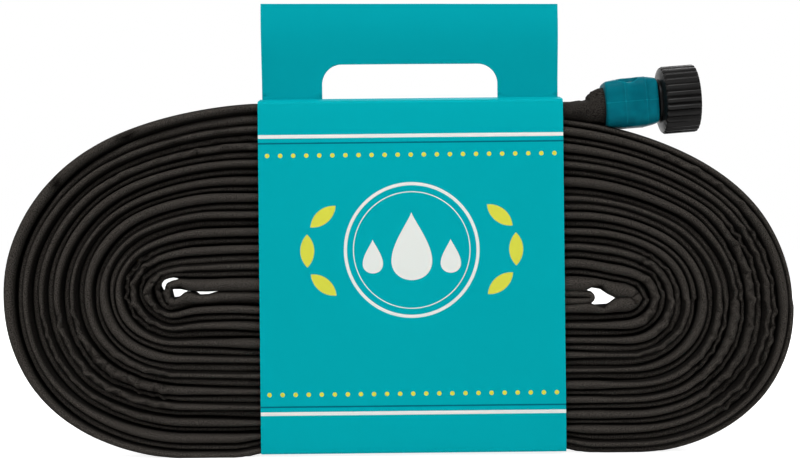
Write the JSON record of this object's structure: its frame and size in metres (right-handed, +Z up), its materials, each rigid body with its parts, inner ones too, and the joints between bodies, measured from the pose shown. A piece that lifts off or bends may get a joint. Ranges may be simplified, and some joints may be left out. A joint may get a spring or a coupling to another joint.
{
  "type": "soaker hose",
  "caption": "Lay-flat soaker hose wound into a flat hank, with a swivel hose coupling, an end clip and a folded card sleeve with a carry handle",
  "frame": {"origin": "On the surface that the pack stands on, under the middle of its box.", "axes": "X runs along the hank towards the coupling, Y is its depth away from the viewer, Z is up."},
  "size_m": [0.3937, 0.0346, 0.2272],
  "materials": {
    "hose": "matt woven polyester",
    "teal_plastic": "satin moulded",
    "black_plastic": "satin moulded",
    "washer_rubber": "matt",
    "white_plastic": "matt",
    "card": "coated printed card"
  },
  "bodies": {
    "pack": {"hose_hank": "hose", "hose_lead": "hose", "hose_cuff": "hose", "tailpiece": "black_plastic", "collar_upper": "teal_plastic", "collar_lower": "teal_plastic", "end_clip_upper": "teal_plastic", "end_clip_lower": "teal_plastic", "card_sleeve": "card", "card_seam": "card"},
    "nut": {"swivel_nut": "black_plastic", "sealing_washer": "washer_rubber", "flow_disc": "white_plastic"},
    "handle": {"handle_front_ply": "card", "handle_back_ply": "card"}
  },
  "joints": [
    {"name": "nut_swivel", "type": "hinge", "parent": "pack", "child": "nut", "pos_m": [0.13343, 0, 0.17721], "axis": [0.9976, 0, 0.0698], "continuous": true},
    {"name": "handle_fold", "type": "hinge", "parent": "pack", "child": "handle", "pos_m": [0.0074, 0, 0.1801], "axis": [1, 0, 0], "range_deg": [-90, 90], "stiffness_Nm_per_rad": 0.01}
  ]
}
